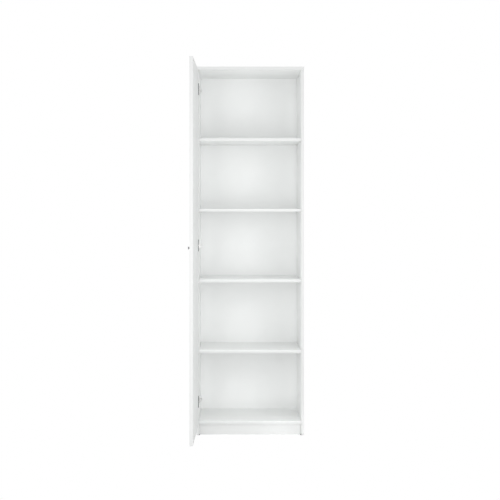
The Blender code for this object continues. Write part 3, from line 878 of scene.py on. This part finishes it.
def peel(low, high, side):
    """Parts a band off one side of a box: the band's corners, and the corners of what is left."""
    axis = axis_of(side)
    band_low, band_high = low.copy(), high.copy()
    rest_low, rest_high = low.copy(), high.copy()
    if side[0] == "-":
        band_high[axis] = rest_low[axis] = low[axis] + BAND_THICKNESS
    else:
        band_low[axis] = rest_high[axis] = high[axis] - BAND_THICKNESS
    return (band_low, band_high), (rest_low, rest_high)


def runs_along(edge, side):
    """Whether an edge of a block round the origin lies in the block's face on one side."""
    first, second = (vertex.co.dot(AXES[side]) for vertex in edge.verts)
    return min(first, second) > 0 and abs(first - second) < SEAM_BREAK


def block(low, high, seams):
    """A box whose edges are to be rounded, but only just broken where a seam is."""
    shape = bmesh.new()
    bmesh.ops.create_cube(shape, size=1.0)
    bmesh.ops.scale(shape, vec=high - low, verts=shape.verts)
    weights = shape.edges.layers.float.new("bevel_weight_edge")
    for edge in shape.edges:
        at_seam = any(runs_along(edge, side) for side in seams)
        edge[weights] = SEAM_BREAK / EDGE_RADIUS if at_seam else 1.0
    bmesh.ops.translate(shape, vec=(low + high) / 2, verts=shape.verts)
    return to_mesh(shape, "block")


def shaped(mesh, cutters=()):
    """A block's mesh with its edges rounded and its holes cut."""
    scene = bpy.context.scene.collection.objects
    obj = bpy.data.objects.new("shaping", mesh)
    scene.link(obj)
    rounding = obj.modifiers.new("edges", "BEVEL")
    rounding.width = EDGE_RADIUS
    rounding.segments = EDGE_SEGMENTS
    rounding.limit_method = "WEIGHT"
    tool = None
    if cutters:
        tool = bpy.data.objects.new("cutters", joined_mesh("cutters", cutters))
        scene.link(tool)
        cut = obj.modifiers.new("holes", "BOOLEAN")
        cut.operation = "DIFFERENCE"
        cut.solver = "EXACT"
        cut.object = tool
    graph = bpy.context.evaluated_depsgraph_get()
    result = bpy.data.meshes.new_from_object(obj.evaluated_get(graph), depsgraph=graph)
    bpy.data.objects.remove(obj)
    if tool:
        bpy.data.objects.remove(tool)
    return result


def thin_axis(low, high):
    size = high - low
    return min(range(3), key=lambda axis: size[axis])


def steps_box(steps, place, way):
    """The box round a turned shape."""
    reach = max(radius for radius, *_ in steps)
    ends = [place + AXES[way] * height for _, height, *_ in steps]
    low = Vector(min(end[axis] for end in ends) - reach for axis in range(3))
    high = Vector(max(end[axis] for end in ends) + reach for axis in range(3))
    return low, high


def on_face(face, low, high, axis):
    """Whether a face of a board lies on or beside one of its two large faces."""
    place = face.center[axis]
    return min(abs(place - low[axis]), abs(place - high[axis])) < EDGE_RADIUS


def board_band(band, side):
    """The band glued on one side of a board."""
    strip = shaped(block(*band, (away(side),)))
    for face in strip.polygons:
        face.material_index = BANDED
    return strip


def board_core(low, high, seams, holes):
    """A board between its bands, faced on its two large sides and raw at its edges and holes."""
    cutters = [turned("cutter", *hole) for hole in holes
               if boxes_meet(steps_box(*hole), (low, high))]
    core = shaped(block(low, high, seams), cutters)
    axis = thin_axis(low, high)
    for face in core.polygons:
        faced = abs(face.normal[axis]) > FACING and on_face(face, low, high, axis)
        face.material_index = FACED if faced else RAW
    return core


def make_board(name, bands):
    low, high = box_of(name)
    parts = []
    for side in bands:
        band, (low, high) = peel(low, high, side)
        parts.append(board_band(band, side))
    body, holes = ("door", door_holes()) if name in DOOR_NODES else ("carcass", carcass_holes())
    parts.append(board_core(low, high, bands, holes))
    mesh = joined_mesh(name, parts)
    finishes = (MELAMINE, EDGE_BAND, CHIPBOARD)
    weigh_normals(add_piece(f"{name}_board", mesh, finishes, body, (name,)))


# Back panel

def make_back_panel():
    """The back panel, white inside and brown on the rest, thinner by its nail heads' rise."""
    name = "back_panel"
    low, high = box_of(name)
    high.y -= NAIL_HEAD_RISE
    mesh = shaped(block(low, high, ("+Y", "-Y")))
    for face in mesh.polygons:
        face.material_index = WHITE_SIDE if face.normal.y < -FACING else BROWN_SIDE
    finishes = (WHITE_HARDBOARD, RAW_HARDBOARD)
    piece = add_piece(f"{name}_sheet", mesh, finishes, stands_for=(name,))
    weigh_normals(piece)


def evenly(low, high, spacing):
    count = round((high - low) / spacing)
    return [low + (high - low) * step / count for step in range(count + 1)]


def make_back_nails():
    low, high = box_of("back_panel")
    seat = high.y - NAIL_HEAD_RISE
    steps = [(NAIL_HEAD_RADIUS * across, NAIL_HEAD_RISE * up) for across, up in NAIL_HEAD_PROFILE]
    left, right = low.x + NAIL_INSET, high.x - NAIL_INSET
    bottom, top = low.z + NAIL_INSET, high.z - NAIL_INSET
    places = [(x, z) for x in (left, right) for z in evenly(bottom, top, NAIL_SPACING)]
    places += [(x, z) for z in (bottom, top) for x in evenly(left, right, NAIL_SPACING)[1:-1]]
    heads = [turned("nail", steps, Vector((x, seat, z)), "+Y", SMALL_SIDES) for x, z in places]
    add_zinc("back_nails", joined_mesh("back_nails", heads))


# Hardware

def make_carcass_screws():
    for name in node_names("carcass_screw"):
        mesh = turned(name, screw_steps(), *screw_seat(name))
        add_zinc(f"{name}_threaded", mesh, stands_for=(name,))


def make_studs():
    for name in node_names("shelf_pin"):
        mesh = turned(name, stud_steps(), on_side_face(name), away(inward(name)))
        add_piece(f"{name}_stud", mesh, (NICKEL,), stands_for=(name,))


def make_glides():
    for name in node_names("glide"):
        seat = at_side(name, "-Z")
        mesh = turned(name, glide_steps(), seat, "+Z")
        add_piece(f"{name}_foot", mesh, (BLACK_PLASTIC,), stands_for=(name,))
        nail = turned(f"{name}_nail", glide_nail_steps(), seat, "+Z", SMALL_SIDES)
        add_zinc(f"{name}_nail", nail)


def make_dowels():
    for name in node_names("plinth_dowel"):
        mesh = turned(name, dowel_steps(length_of(name, "X")), at_side(name, "-X"), "+X")
        add_piece(f"{name}_fluted", mesh, (BEECH,), stands_for=(name,))


def make_knob():
    mesh = turned("knob", knob_steps(), at_side("knob", "+Y"), "-Y", KNOB_SIDES)
    add_piece("knob_turned", mesh, (KNOB_METAL,), "door", ("knob",))
    name = "knob_screw"
    screw = turned(name, knob_screw_steps(length_of("door", "Y")), at_side(name, "+Y"), "-Y")
    add_zinc(f"{name}_threaded", screw, "door", (name,))


def make_bumpers():
    for name in node_names("door_bumper"):
        mesh = turned(name, bumper_steps(length_of(name, "Y")), at_side(name, "-Y"), "+Y")
        add_piece(f"{name}_dome", mesh, (MILKY_RUBBER,), "door", (name,))


def dress_steel(name, finish):
    """A hinge's stamped piece keeps its solid, with its edges rounded as by the press."""
    node = frame["nodes"][name]
    node.material_slots[0].material = finish
    rounding = node.modifiers.new("edges", "BEVEL")
    rounding.width = STEEL_EDGE_RADIUS
    rounding.segments = EDGE_SEGMENTS
    rounding.limit_method = "ANGLE"
    rounding.harden_normals = True


def make_hinge_pin(name):
    pin = turned(name, pin_steps(length_of(name, "Z")), at_side(name, "-Z"), "+Z", SMALL_SIDES)
    add_zinc(f"{name}_riveted", pin, "door", (name,))


def make_wood_screws(part, places, way, body):
    """The wood screws that hold one part of a hinge."""
    screws = [turned("screw", wood_screw_steps(), place, way) for place in places]
    add_zinc(f"{part}_screws", joined_mesh(f"{part}_screws", screws), body)


def make_clamp_screw(name):
    """The screw that clamps a hinge's arm to its plate."""
    low, _ = box_of(name)
    seat = at_side(name, "+X") - Vector((CLAMP_SCREW_HEAD_HEIGHT, 0, 0))
    mesh = turned(name, clamp_screw_steps(seat.x - low.x), seat, "-X")
    add_zinc(f"{name}_threaded", mesh, stands_for=(name,))


def make_setting_screw(name, arm):
    """The head of the screw that sets a hinge's arm, on the arm's face."""
    depth = behind_front(SETTING_SCREW_FROM_FRONT)
    seat = Vector((box_of(arm)[1].x, depth, middle_of(arm).z))
    head = pan_head(SETTING_SCREW_HEAD_RADIUS, SETTING_SCREW_HEAD_HEIGHT)
    add_zinc(name, turned(name, head, seat, "-X"))


def make_hinge(hinge):
    cup, arm, plate = f"{hinge}_cup", f"{hinge}_arm", f"{hinge}_plate"
    # The cup takes the darkened copy of the nickel, a painted shade, while the arm and plate keep
    # the bright nickel
    dress_steel(cup, SHADE_PAINTED_NICKEL)
    dress_steel(arm, NICKEL)
    dress_steel(plate, NICKEL)
    make_hinge_pin(f"{hinge}_pin")
    make_wood_screws(cup, flange_screw_places(cup), "-Y", "door")
    make_wood_screws(plate, plate_screw_places(plate), "-X", "carcass")
    make_clamp_screw(f"{hinge}_screw")
    make_setting_screw(f"{hinge}_setting_screw", arm)


# Camera, light and floor

def make_camera():
    data = bpy.data.cameras.new("camera")
    data.sensor_width = SENSOR_MM
    data.lens = SENSOR_MM * FOCAL_PIXELS / FRAME_PIXELS
    middle = FRAME_PIXELS / 2
    data.shift_x = (middle - HORIZON_PIXEL[0]) / FRAME_PIXELS
    data.shift_y = (HORIZON_PIXEL[1] - middle) / FRAME_PIXELS
    camera = bpy.data.objects.new("camera", data)
    camera.location = CAMERA_PLACE
    camera.rotation_euler = (math.radians(90), 0, 0)
    bpy.context.scene.collection.objects.link(camera)
    bpy.context.scene.camera = camera


def show_apart(tree, lit, seen, output):
    """Shows the camera one shader, and every other ray the other."""
    path = tree.nodes.new("ShaderNodeLightPath")
    mix = tree.nodes.new("ShaderNodeMixShader")
    tree.links.new(path.outputs["Is Camera Ray"], mix.inputs["Fac"])
    tree.links.new(lit, mix.inputs[1])
    tree.links.new(seen, mix.inputs[2])
    tree.links.new(mix.outputs["Shader"], tree.nodes[output].inputs["Surface"])


def make_surroundings():
    """White all round, and a full white where the camera sees it as the backdrop."""
    world = bpy.data.worlds.new("surroundings")
    world.use_nodes = True
    lit = world.node_tree.nodes["Background"]
    seen = world.node_tree.nodes.new("ShaderNodeBackground")
    for background, strength in ((lit, SURROUNDINGS), (seen, BACKDROP)):
        background.inputs["Color"].default_value = (1, 1, 1, 1)
        background.inputs["Strength"].default_value = strength
    show_apart(world.node_tree, lit.outputs[0], seen.outputs[0], "World Output")
    bpy.context.scene.world = world
    bpy.context.scene.view_settings.view_transform = "Standard"


def add_lamp(name, kind, place, way):
    """A lamp that the camera doesn't see, facing the given way."""
    data = bpy.data.lights.new(name, kind)
    lamp = bpy.data.objects.new(name, data)
    lamp.location = place
    lamp.rotation_euler = Vector(way).to_track_quat("-Z", "Y").to_euler()
    lamp.visible_camera = False
    bpy.context.scene.collection.objects.link(lamp)
    return data


def add_panel_lamp(name, place, way, width, height, watts, spread=180):
    data = add_lamp(name, "AREA", place, way)
    data.shape = "RECTANGLE"
    data.size = width
    data.size_y = height
    data.energy = watts
    data.spread = math.radians(spread)


def light_bays():
    """A fill over each bay's mouth, like light off white boards, and the spot on its back."""
    for opening in frame["record"]["physics"]["openings"]:
        low, high = (Vector(corner) for corner in opening["box_m"])
        middle = (low + high) / 2
        mouth = Vector((middle.x, low.y, middle.z))
        width, height = high.x - low.x, high.z - low.z
        add_panel_lamp("bay_fill", mouth, (0, 1, 0), width, height, BAY_FILL_WATTS)
        mouth.x = 0
        glow = add_lamp("bay_glow", "SPOT", mouth, mouth - BAY_GLOW_SOURCE)
        glow.energy = BAY_GLOW_WATTS
        glow.spot_size = BAY_GLOW_ANGLE
        glow.spot_blend = 1.0
        glow.shadow_soft_size = BAY_GLOW_SIZE


def make_floor_finish():
    """A pale matt floor, which the camera sees as white as the backdrop."""
    finish = Finish("pale_floor")
    shader = finish.shader
    shader.inputs["Base Color"].default_value = FLOOR_WHITE
    shader.inputs["Specular IOR Level"].default_value = 0.0
    finish.roughness(finish.noise(40), 0.85, 0.95)
    seen = finish.nodes.new("ShaderNodeEmission")
    seen.inputs["Strength"].default_value = BACKDROP
    show_apart(finish.tree, shader.outputs["BSDF"], seen.outputs["Emission"], "Material Output")
    return finish.material


def make_floor():
    mesh = bpy.data.meshes.new("floor")
    half = FLOOR_SIZE / 2
    corners = [(-half, -half, 0), (half, -half, 0), (half, half, 0), (-half, half, 0)]
    mesh.from_pydata(corners, [], [(0, 1, 2, 3)])
    mesh.materials.append(make_floor_finish())
    floor = bpy.data.objects.new("floor", mesh)
    floor.location.z = -FLOOR_DROP
    bpy.context.scene.collection.objects.link(floor)


for board_name, board_bands in BOARD_BANDS.items():
    make_board(board_name, board_bands)
make_back_panel()
make_back_nails()
make_carcass_screws()
make_studs()
make_glides()
make_dowels()
make_knob()
make_bumpers()
for hinge_name in ("hinge_lower", "hinge_middle", "hinge_upper"):
    make_hinge(hinge_name)

make_camera()
make_surroundings()
for lamp_name, settings in LAMPS.items():
    add_panel_lamp(lamp_name, *settings)
light_bays()
make_floor()
